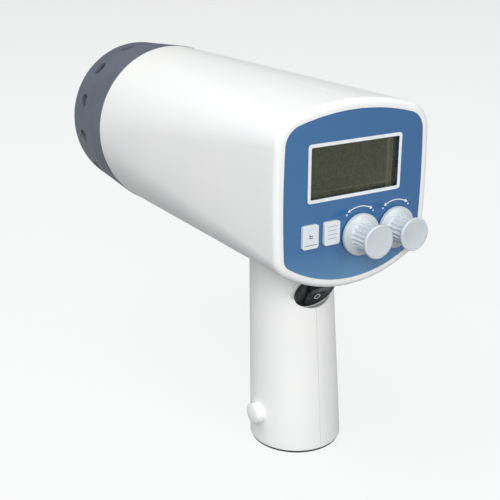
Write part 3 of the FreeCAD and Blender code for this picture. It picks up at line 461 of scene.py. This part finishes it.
def make_shells(look):
    whole = housing()
    reach = overall_length
    for name, side in (("left", -1), ("right", 1)):
        near, far = sorted((side * seam_gap / 2, side * reach))
        half = combine(copy_of(whole), block((near, -reach, -reach), (far, reach, reach)), "INTERSECT")
        piece(half, name + "_shell_skin", look, "housing", [name + "_shell"])
    bpy.data.objects.remove(whole)


def make_inlet_cover(look):
    """The push-in cover: a low dome on the boss with a hollow stem round the contact pin."""
    rows = ((-1.0, 0.05), (-0.97, 1.5), (-0.88, 2.6), (-0.7, 3.7), (-0.42, 4.7), (-0.15, 5.3), (0, 5.45),
            (0, cover_stem_radius), (cover_stem, cover_stem_radius), (cover_stem, cover_stem_bore),
            (0, cover_stem_bore))
    cover = lathe("cover", rows, jack_mouth, RIGHT, 64)
    piece(cover, "inlet_cover_skin", look, "housing", ["inlet_cover"])


def hood_radius(distance):
    share = (distance - hood_start) / hood_length
    return hood_rear_radius + (hood_front_radius - hood_rear_radius) * share


def make_hood(look):
    start, end = hood_start + hood_gap, overall_length
    lip = end - hood_lip
    corners = ((start, spigot_radius + 0.2, 0), (start, hood_radius(start), 0.5),
               (end, hood_radius(end), 1.6), (end, hood_lip_radius, 0.5),
               (lip, hood_lip_radius, 0), (lip, hood_radius(lip) - hood_wall, 0),
               (hood_start + spigot_length, spigot_radius + 0.2, 0))
    hood = lathe("hood", rounded(corners), along(0), FRONT, 192, capped=False)
    seat = hood_radius(overall_length - vent_setback)
    vents = []
    for i in range(vent_count):
        angle = math.radians(vent_first_angle + i * 360.0 / vent_count)
        out = Vector((math.cos(angle), 0, math.sin(angle)))
        rows = ((seat - 12, vent_radius), (seat - vent_flare, vent_radius),
                (seat, vent_radius + 0.6 * vent_flare), (seat + vent_flare, vent_radius + 2 * vent_flare))
        vents.append(lathe("vent", rows, along(overall_length - vent_setback), out, 48))
    combine(hood, joined("vents", vents), "DIFFERENCE")
    piece(hood, "lamp_hood_skin", look, "housing", ["lamp_hood"])


def knob_groove(start, end):
    """How deep the ribbing cuts into the waist at a place on it."""
    pitch = 2 * math.pi * knob_waist / rib_count
    fade = 0.5

    def depth(distance, angle):
        if distance <= start or distance >= end:
            return 0.0
        across = (angle * rib_count / (2 * math.pi) % 1 - 0.5) * pitch
        if abs(across) >= rib_depth:
            return 0.0
        full = max(math.sqrt(rib_depth ** 2 - across ** 2) - rib_sink, 0.0)
        return full * min(1.0, (distance - start) / fade, (end - distance) / fade)
    return depth


def make_knob(name, place, look):
    x, z = place
    foot = label_face - knob_gap
    front = foot - knob_foot_thickness
    end = -knob_length
    rib_start, rib_end = end + 2.4, front - 1.2
    waist, cap, edge = knob_waist, knob_cap, 0.8
    rows = [(foot, knob_foot_radius - 0.2), (foot - 0.2, knob_foot_radius), (front + edge, knob_foot_radius),
            (front + 0.45, knob_foot_radius - 0.08), (front + 0.2, knob_foot_radius - 0.25),
            (front + 0.05, knob_foot_radius - 0.5), (front, knob_foot_radius - edge),
            (front - 0.25, waist + 2.2), (front - 0.5, waist + 1.3), (front - 0.95, waist + 0.75),
            (rib_end, waist + 0.5), (rib_end - 0.5, waist + 0.3), (front - 3.0, waist),
            (end + 4.5, waist), (end + 3.5, waist + 0.2), (rib_start + 0.5, waist + 0.4),
            (rib_start, waist + 0.6), (end + 1.9, waist + 0.95), (end + 1.5, cap - 0.15),
            (end + 1.1, cap), (end + 0.5, cap), (end + 0.25, cap - 0.1), (end + 0.08, cap - 0.3),
            (end, cap - edge), (end + 0.12, cap - 1.3), (end + 0.12, 0.6)]
    knob = lathe("knob", rows, along(0, x, z), FRONT, 240, groove=knob_groove(rib_start, rib_end))
    piece(knob, name + "_knob_skin", look, name + "_control", [name + "_knob"], 40)


def ring_plate(name, corners_out, corners_in, start, end):
    """A flat frame on the panel between two rounded outlines, from start to end along."""
    outer, inner = rounded(corners_out, 8), rounded(corners_in, 8)
    rings = [[along(d, x, z) for x, z in points]
             for d, points in ((start, outer), (end, outer), (end, inner), (start, inner))]
    return skin(name, rings, capped=False)


def box_corners(margin, radius):
    half = window_half_width + margin
    low, top = window_bottom - margin, window_top + margin
    return ((-half, low, radius), (half, low, radius), (half, top, radius), (-half, top, radius))


def arc_arrow(x, z, radius=13.2, spread=26.0, width=0.42, head=1.5):
    """A thin arc over a knob with an arrowhead at each end."""
    face, back = label_face - print_rise, label_face
    steps = 28
    rings = []
    for k in range(steps + 1):
        angle = math.radians(90 + spread * (1 - 2 * k / steps))
        ring = []
        for r, d in ((radius - width / 2, face), (radius + width / 2, face),
                     (radius + width / 2, back), (radius - width / 2, back)):
            ring.append(along(d, x + r * math.cos(angle), z + r * math.sin(angle)))
        rings.append(ring)
    parts = [skin("arc", rings)]
    for side in (-1, 1):
        angle = math.radians(90 - side * spread)
        foot = Vector((x + radius * math.cos(angle), z + radius * math.sin(angle)))
        ahead = Vector((side * math.sin(angle), -side * math.cos(angle)))
        across = Vector((-ahead.y, ahead.x))
        points = [foot + ahead * head, foot + across * head * 0.55, foot - across * head * 0.55]
        parts.append(skin("head", [[along(d, p.x, p.y) for p in points] for d in (face, back)]))
    return parts


def dots(x, z, radius=12.6, spread=37.0, size=0.42):
    parts = []
    for side in (-1, 1):
        angle = math.radians(90 + side * spread)
        centre = along(label_face - print_rise, x + radius * math.cos(angle), z + radius * math.sin(angle))
        parts.append(lathe("dot", ((0, size), (print_rise, size)), centre, FRONT, 24))
    return parts


def make_prints(white, dark, faint):
    """The plain printing: a border round the window, and an arrow arc over each knob."""
    face = label_face - print_rise
    border = ring_plate("border", box_corners(border_width, 1.6), box_corners(0.0, window_corner),
                        face, label_face)
    parts = [border]
    for x, z in knob_places.values():
        parts += arc_arrow(x, z) + dots(x, z)
    piece(joined("print", parts), "panel_print", white, "housing")

    # Plain marks on the keys
    proud = -key_proud - print_rise
    for name, (x, z) in key_places.items():
        marks = []
        if name == "left_key":
            marks.append((x - 3.6, x + 3.6, z - 3.75, z - 3.5))
            marks.append((x - 0.9, x + 0.9, z - 0.6, z - 0.25))
            marks.append((x - 0.9, x + 0.9, z + 0.35, z + 0.7))
            marks.append((x - 0.9, x - 0.5, z - 0.6, z + 1.6))
        else:
            for row in range(4):
                level = z + 3.2 - 1.9 * row
                marks.append((x - 2.6, x + 2.6 - 0.5 * (row % 2), level, level + 0.28))
        bars = [block((x0, rear_y + proud, axis_z + z0), (x1, rear_y - key_proud, axis_z + z1))
                for x0, x1, z0, z1 in marks]
        look = dark if name == "left_key" else faint
        piece(joined("marks", bars), name + "_print", look, name)


def turned(vector, angle):
    """A vector turned about the operator's right."""
    return Vector((vector.x, vector.y * math.cos(angle) - vector.z * math.sin(angle),
                   vector.y * math.sin(angle) + vector.z * math.cos(angle)))


def make_rocker_marks(white, faint):
    """O on the rocker's lower half and I on its upper half."""
    pivot = switch_face - switch_out * rocker_pivot_depth
    crest = pivot + turned(switch_out, rocker_throw / 2) * rocker_crown
    lower = crest + switch_down * 2.6 + RIGHT * 0.8
    ring = ((-0.02, 1.3), (print_rise, 1.3), (print_rise, 1.7), (-0.02, 1.7))
    circle = lathe("circle", ring, lower, switch_out, 64, capped=False)
    upper_normal = turned(switch_out, rocker_throw)
    upper_slope = turned(-switch_down, rocker_throw)
    middle = crest + upper_slope * 3.6
    rings = []
    for lift in (-0.02, print_rise):
        rings.append([middle + upper_normal * lift + RIGHT * a + upper_slope * b
                      for a, b in ((-0.2, -1.4), (0.2, -1.4), (0.2, 1.4), (-0.2, 1.4))])
    piece(circle, "rocker_ring_print", white, "rocker")
    piece(skin("stroke", rings), "rocker_stroke_print", faint, "rocker")


# Materials: colours are written as they look on screen, 0 to 255

def srgb(red, green, blue):
    levels = []
    for level in (red, green, blue):
        share = level / 255.0
        levels.append(share / 12.92 if share <= 0.04045 else ((share + 0.055) / 1.055) ** 2.4)
    return (*levels, 1.0)


class Look:
    """A procedural material: the shader, and helpers that add nodes in object coordinates."""

    def __init__(self, name, roughness=0.5, metallic=0.0):
        self.material = bpy.data.materials.new(name)
        self.material.use_nodes = True
        self.tree = self.material.node_tree
        self.shader = self.tree.nodes["Principled BSDF"]
        self.shader.inputs["Roughness"].default_value = roughness
        self.shader.inputs["Metallic"].default_value = metallic
        self.coords = self.add("ShaderNodeTexCoord").outputs["Object"]

    def add(self, kind, inputs=None, **settings):
        node = self.tree.nodes.new(kind)
        for key, value in settings.items():
            setattr(node, key, value)
        for key, value in (inputs or {}).items():
            if isinstance(value, bpy.types.NodeSocket):
                self.tree.links.new(value, node.inputs[key])
            else:
                node.inputs[key].default_value = value
        return node

    def set(self, **values):
        for key, value in values.items():
            self.shader.inputs[key.replace("_", " ")].default_value = value

    def link(self, socket, target):
        self.tree.links.new(socket, self.shader.inputs[target])

    def stretched(self, scale):
        """Object coordinates scaled along each axis."""
        return self.add("ShaderNodeMapping", {"Vector": self.coords, "Scale": scale}).outputs["Vector"]

    def noise(self, scale, detail=3.0, roughness=0.5, vector=None):
        node = self.add("ShaderNodeTexNoise", {"Vector": vector or self.coords, "Scale": scale,
                                               "Detail": detail, "Roughness": roughness})
        return node.outputs["Fac"]

    def mapped(self, value, low, high, to_low, to_high):
        node = self.add("ShaderNodeMapRange", {"Value": value, "From Min": low, "From Max": high,
                                               "To Min": to_low, "To Max": to_high})
        return node.outputs["Result"]

    def math(self, operation, first, second=0.0):
        return self.add("ShaderNodeMath", {0: first, 1: second}, operation=operation).outputs[0]

    def mixed(self, factor, first, second):
        node = self.add("ShaderNodeMix", {0: factor, 6: first, 7: second}, data_type="RGBA")
        return node.outputs[2]

    def axis(self, name):
        return self.add("ShaderNodeSeparateXYZ", {"Vector": self.coords}).outputs[name]

    def band(self, value, low, high, soft):
        """1 between low and high, with soft edges, 0 elsewhere."""
        up = self.mapped(value, low - soft, low + soft, 0.0, 1.0)
        down = self.mapped(value, high - soft, high + soft, 1.0, 0.0)
        return self.math("MULTIPLY", up, down)

    def bump(self, height, depth, strength=1.0):
        """A relief of a depth in millimetres, added over any other."""
        node = self.add("ShaderNodeBump", {"Height": height, "Distance": depth * MM, "Strength": strength})
        earlier = self.shader.inputs["Normal"].links
        if earlier:
            self.tree.links.new(earlier[0].from_socket, node.inputs["Normal"])
        self.link(node.outputs["Normal"], "Normal")

    def moulded(self, colour, other, roughness, spread=0.06, grain=2600.0, relief=0.02, patch=30.0):
        """Moulded plastic or paint: slow colour drift, a fine grain and uneven gloss."""
        drift = self.noise(patch, 2.0)
        fine = self.noise(grain, 2.0, 0.6)
        self.link(self.mixed(self.mapped(drift, 0.35, 0.65, 0.0, 1.0), colour, other), "Base Color")
        blend = self.math("ADD", self.math("MULTIPLY", drift, 0.7), self.math("MULTIPLY", fine, 0.3))
        self.link(self.mapped(blend, 0.35, 0.65, roughness - spread, roughness + spread), "Roughness")
        self.bump(fine, relief)
        return self


def white_plastic():
    look = Look("white_plastic")
    look.moulded(srgb(242, 243, 241), srgb(239, 241, 241), 0.42, 0.05, 1500.0, 0.010, 18.0)
    look.bump(look.noise(55.0, 1.0), 0.05)
    look.set(Specular_IOR_Level=0.3, Coat_Weight=0.05, Coat_Roughness=0.2)
    return look.material


def hood_plastic():
    look = Look("hood_plastic")
    look.moulded(srgb(102, 108, 119), srgb(96, 102, 113), 0.5, 0.05, 2200.0, 0.035, 40.0)
    look.set(Specular_IOR_Level=0.15)
    return look.material


def label_film():
    look = Look("label_film")
    # Painted sheen: the blue turns lighter towards the bottom of the label, standing in for a reflection. The
    # blue also turns darker towards the label's right.
    low = look.mapped(look.axis("Z"), 0.104, 0.122, 0.85, 0.0)
    side = look.mapped(look.axis("X"), -0.04, 0.04, 0.0, 1.0)
    level = look.mixed(side, srgb(46, 106, 156), srgb(38, 94, 148))
    with_painted_sheen = look.mixed(low, level, srgb(94, 140, 182))
    drift = look.mapped(look.noise(60.0, 2.0), 0.3, 0.7, 0.0, 0.25)
    look.link(look.mixed(drift, with_painted_sheen, srgb(44, 100, 150)), "Base Color")
    fine = look.noise(900.0, 2.0)
    look.link(look.mapped(fine, 0.3, 0.7, 0.07, 0.12), "Roughness")
    look.bump(fine, 0.003)
    look.bump(look.noise(90.0, 1.0), 0.012)
    look.set(Specular_IOR_Level=0.6)
    return look.material


def ink(name, colour, other):
    look = Look(name)
    return look.moulded(colour, other, 0.32, 0.04, 3000.0, 0.006, 300.0).material


def clear_plastic(name, tint, roughness, ior):
    look = Look(name)
    fine = look.noise(500.0, 2.0)
    look.link(look.mapped(fine, 0.3, 0.7, roughness, roughness + 0.03), "Roughness")
    look.link(look.mixed(look.mapped(look.noise(80.0), 0.4, 0.6, 0.0, 1.0), tint, (1, 1, 1, 1)), "Base Color")
    look.bump(look.noise(120.0, 1.0), 0.004)
    look.set(Transmission_Weight=1.0, IOR=ior)
    return look.material


def lcd_glass():
    """A display that is off: dark olive, with paler bands where its frame catches light."""
    look = Look("lcd_glass")
    x, z = look.axis("X"), look.axis("Z")
    grain = look.mapped(look.noise(900.0, 2.0), 0.3, 0.7, 0.0, 1.0)
    base = look.mixed(grain, srgb(50, 52, 27), srgb(54, 57, 31))
    pale = srgb(92, 91, 64)
    right = look.band(x, 0.0196, 0.0220, 0.0004)
    line = look.band(x, 0.0226, 0.0229, 0.0001)
    low = look.band(z, 0.1468, 0.1474, 0.0002)
    dark = look.band(x, 0.0231, 0.0252, 0.0001)
    with_right = look.mixed(look.math("MULTIPLY", right, 0.85), base, pale)
    with_low = look.mixed(look.math("MULTIPLY", low, 0.7), with_right, pale)
    with_line = look.mixed(line, with_low, srgb(120, 122, 100))
    look.link(look.mixed(dark, with_line, srgb(48, 51, 40)), "Base Color")
    look.link(look.mapped(grain, 0.0, 1.0, 0.22, 0.32), "Roughness")
    look.bump(look.noise(1500.0, 1.0), 0.003)
    look.set(Specular_IOR_Level=0.2)
    return look.material


def mirror():
    look = Look("reflector_mirror", 0.1, 1.0)
    look.link(look.mixed(look.mapped(look.noise(90.0), 0.4, 0.6, 0.0, 1.0), srgb(225, 228, 230),
                         srgb(240, 242, 243)), "Base Color")
    look.link(look.mapped(look.noise(700.0), 0.3, 0.7, 0.07, 0.16), "Roughness")
    look.bump(look.noise(260.0, 1.0), 0.03)
    return look.material


def metal(name, colour, other, roughness, stretch, relief=0.006):
    """Drawn or turned metal: streaks along one axis."""
    look = Look(name, roughness, 1.0)
    streaks = look.noise(1.0, 3.0, 0.6, look.stretched(stretch))
    look.link(look.mixed(look.mapped(streaks, 0.35, 0.65, 0.0, 1.0), colour, other), "Base Color")
    look.link(look.mapped(streaks, 0.3, 0.7, roughness - 0.08, roughness + 0.1), "Roughness")
    look.bump(streaks, relief)
    return look.material


def wound(name, colour, other, axis, pitch):
    """Enamelled wire laid turn beside turn."""
    look = Look(name, 0.3, 0.8)
    turns = look.add("ShaderNodeTexWave", {"Vector": look.coords, "Scale": 1 / (pitch * MM * 2),
                                           "Distortion": 0.6, "Detail": 1.0},
                     wave_type="BANDS", bands_direction=axis).outputs["Fac"]
    look.link(look.mixed(turns, colour, other), "Base Color")
    look.link(look.mapped(look.noise(300.0), 0.3, 0.7, 0.25, 0.4), "Roughness")
    look.bump(turns, 0.12)
    return look.material


def laminated():
    """A stack of varnished steel sheets."""
    look = Look("transformer_core", 0.45, 0.9)
    sheets = look.add("ShaderNodeTexWave", {"Vector": look.coords, "Scale": 1000.0, "Distortion": 0.3},
                      wave_type="BANDS", bands_direction="X").outputs["Fac"]
    look.link(look.mixed(sheets, srgb(92, 90, 88), srgb(138, 136, 132)), "Base Color")
    look.link(look.mapped(look.noise(250.0), 0.3, 0.7, 0.35, 0.55), "Roughness")
    look.bump(sheets, 0.05)
    return look.material


def circuit_board():
    look = Look("circuit_board", 0.35)
    cells = look.add("ShaderNodeTexVoronoi", {"Vector": look.coords, "Scale": 260.0, "Randomness": 0.35},
                     feature="DISTANCE_TO_EDGE").outputs["Distance"]
    tracks = look.mapped(cells, 0.05, 0.08, 1.0, 0.0)
    pads = look.add("ShaderNodeTexVoronoi", {"Vector": look.coords, "Scale": 320.0, "Randomness": 0.2},
                    feature="F1").outputs["Distance"]
    spots = look.mapped(pads, 0.16, 0.2, 1.0, 0.0)
    mask = look.mixed(look.noise(400.0), srgb(24, 92, 52), srgb(30, 102, 58))
    traced = look.mixed(look.math("MULTIPLY", tracks, 0.6), mask, srgb(52, 130, 76))
    look.link(look.mixed(spots, traced, srgb(196, 192, 176)), "Base Color")
    look.link(look.math("MULTIPLY", spots, 0.9), "Metallic")
    look.link(look.mapped(look.noise(600.0), 0.3, 0.7, 0.28, 0.42), "Roughness")
    look.bump(look.math("ADD", tracks, spots), 0.03)
    return look.material


def sleeve(name, colour, stripe, axis, low, high):
    """Shrink sleeve with a plain stripe between two places on an axis."""
    look = Look(name)
    look.moulded(colour, colour, 0.3, 0.05, 1200.0, 0.01, 60.0)
    place = look.axis(axis)
    look.link(look.mixed(look.band(place, low, high, 0.0002), colour, stripe), "Base Color")
    return look.material


def knob_plastic():
    look = Look("knob_plastic")
    look.moulded(srgb(206, 213, 217), srgb(198, 206, 211), 0.34, 0.05, 1800.0, 0.012, 90.0)
    look.set(Coat_Weight=0.2, Coat_Roughness=0.15)
    return look.material


def switch_plastic():
    look = Look("switch_plastic")
    look.moulded(srgb(34, 38, 44), srgb(31, 35, 41), 0.4, 0.04, 1500.0, 0.006, 60.0)
    look.set(Specular_IOR_Level=0.25)
    return look.material


def plain(name, colour, other, roughness, relief=0.02, grain=2200.0):
    return Look(name).moulded(colour, other, roughness, 0.06, grain, relief, 50.0).material


def make_looks():
    looks = {
        "white_plastic": white_plastic(),
        "hood_plastic": hood_plastic(),
        "label_film": label_film(),
        "grey_plastic": plain("grey_plastic", srgb(148, 150, 152), srgb(140, 143, 146), 0.5, 0.04),
        "clear_window": clear_plastic("clear_window", (0.97, 0.98, 0.97, 1), 0.02, 1.25),
        "lens": clear_plastic("lens", (0.96, 0.98, 0.98, 1), 0.02, 1.45),
        "tube_glass": clear_plastic("tube_glass", (0.95, 0.97, 1.0, 1), 0.01, 1.47),
        "lcd_glass": lcd_glass(),
        "reflector_mirror": mirror(),
        "steel": metal("steel", srgb(168, 170, 172), srgb(196, 198, 200), 0.32, (900, 160, 900)),
        "nickel_brass": metal("nickel_brass", srgb(196, 190, 168), srgb(214, 208, 188), 0.28,
                              (160, 900, 900)),
        "copper": wound("copper", srgb(150, 78, 40), srgb(214, 128, 78), "Y", 0.6),
        "circuit_board": circuit_board(),
        "black_plastic": plain("black_plastic", srgb(38, 39, 41), srgb(32, 33, 35), 0.45),
        "switch_plastic": switch_plastic(),
        "white_ceramic": plain("white_ceramic", srgb(232, 230, 222), srgb(224, 221, 212), 0.4, 0.02, 900.0),
        "key_plastic": plain("key_plastic", srgb(226, 232, 237), srgb(218, 226, 232), 0.3, 0.01),
        "knob_plastic": knob_plastic(),
        "capacitor_sleeve": sleeve("capacitor_sleeve", srgb(34, 44, 72), srgb(196, 200, 204),
                                   "Z", 0.128, 0.131),
        "battery_sleeve": sleeve("battery_sleeve", srgb(58, 122, 74), srgb(210, 212, 206),
                                 "Z", 0.050, 0.054),
        "sink_aluminium": metal("sink_aluminium", srgb(176, 178, 180), srgb(202, 204, 206), 0.38,
                                (700, 700, 90)),
        "rubber_black": plain("rubber_black", srgb(40, 40, 42), srgb(34, 34, 36), 0.75, 0.06, 1400.0),
    }
    return looks


own_looks = {"transformer_core": laminated}


def dress_frame(looks):
    """Gives every node of the frame the look of its material slot."""
    slots = {row["node"]: row["material_slot"] for row in frame["record"]["subparts"]}
    for name, node in frame["nodes"].items():
        look = own_looks[name]() if name in own_looks else looks[slots[name]]
        node.data.materials.clear()
        node.data.materials.append(look)


# Floor, light and camera

floor_glow_share = 0.88
camera_azimuth = math.radians(31.51)
camera_drop = math.radians(19.52)
camera_lens = 66.0
camera_place = (-0.25009, -0.36118, 0.25932)


def make_floor():
    look = Look("floor", 0.9)
    distance = look.add("ShaderNodeVectorMath", {0: look.coords}, operation="LENGTH").outputs["Value"]
    shade = look.mapped(distance, 0.6, 4.5, 0.0, 1.0)
    pale = look.mixed(shade, srgb(250, 251, 251), srgb(240, 240, 240))
    glow = look.add("ShaderNodeEmission", {"Color": pale})
    rays = look.add("ShaderNodeLightPath").outputs
    seen = look.math("MAXIMUM", rays["Is Camera Ray"], rays["Is Glossy Ray"])
    seen = look.math("MAXIMUM", seen, rays["Is Transmission Ray"])
    look.link(look.mixed(rays["Is Camera Ray"], (0.12, 0.12, 0.13, 1), (0.84, 0.85, 0.86, 1)), "Base Color")
    share = look.math("MULTIPLY", seen, floor_glow_share)
    mix = look.add("ShaderNodeMixShader", {0: share, 1: look.shader.outputs[0], 2: glow.outputs[0]})
    output = look.tree.nodes["Material Output"]
    look.tree.links.new(mix.outputs[0], output.inputs["Surface"])
    floor = lathe("floor", ((-0.012, 9000.0), (-0.01, 9000.0)), Vector((0, 0, 0)), UP, 96)
    for vertex in floor.data.vertices:
        vertex.co = vertex.co * MM
    floor.data.materials.append(look.material)


def area_light(name, place, target, size, power):
    lamp = bpy.data.lights.new(name, "AREA")
    lamp.shape = "DISK"
    lamp.size = size
    lamp.energy = power
    made = bpy.data.objects.new(name, lamp)
    made.location = place
    made.rotation_euler = (Vector(target) - Vector(place)).to_track_quat("-Z", "Y").to_euler()
    bpy.context.scene.collection.objects.link(made)


def make_light():
    world = bpy.data.worlds.new("studio")
    world.use_nodes = True
    nodes, links = world.node_tree.nodes, world.node_tree.links
    background = nodes["Background"]
    background.inputs["Color"].default_value = (1, 1, 1, 1)
    rays = nodes.new("ShaderNodeLightPath")
    level = nodes.new("ShaderNodeMapRange")
    level.inputs["To Min"].default_value = 0.25
    level.inputs["To Max"].default_value = 0.84
    links.new(rays.outputs["Is Camera Ray"], level.inputs["Value"])
    links.new(level.outputs["Result"], background.inputs["Strength"])
    bpy.context.scene.world = world
    area_light("overhead", (-0.45, 0.1, 1.3), (0, 0.03, 0.12), 1.0, 8.9)
    area_light("key", (-0.75, -1.15, 0.75), (0, 0, 0.12), 0.8, 14.0)
    area_light("right", (0.5, -1.3, 0.5), (0, 0, 0.12), 0.6, 5.0)
    area_light("fill", (-1.3, -0.2, 0.7), (0, 0.05, 0.12), 0.8, 3.0)


def make_camera():
    """A 36 mm sensor behind the lens, at the photograph's place and direction."""
    flat = math.cos(camera_drop)
    direction = Vector((math.sin(camera_azimuth) * flat, math.cos(camera_azimuth) * flat,
                        -math.sin(camera_drop)))
    camera = bpy.data.cameras.new("camera")
    camera.lens = camera_lens
    camera.sensor_width = 36.0
    camera.clip_start = 0.01
    camera.clip_end = 50.0
    made = bpy.data.objects.new("camera", camera)
    made.location = camera_place
    made.rotation_euler = direction.to_track_quat("-Z", "Y").to_euler()
    bpy.context.scene.collection.objects.link(made)
    bpy.context.scene.camera = made


looks = make_looks()
dress_frame(looks)
make_shells(looks["white_plastic"])
make_inlet_cover(looks["white_plastic"])
make_hood(looks["hood_plastic"])
white_ink = ink("white_ink", srgb(238, 242, 243), srgb(228, 234, 236))
for name, place in knob_places.items():
    make_knob(name, place, looks["knob_plastic"])
faint_ink = ink("faint_ink", srgb(150, 158, 166), srgb(142, 150, 160))
make_prints(white_ink, ink("dark_ink", srgb(60, 66, 74), srgb(52, 58, 66)), faint_ink)
make_rocker_marks(white_ink, faint_ink)
make_floor()
make_light()
make_camera()
bpy.context.scene.view_settings.view_transform = "Standard"
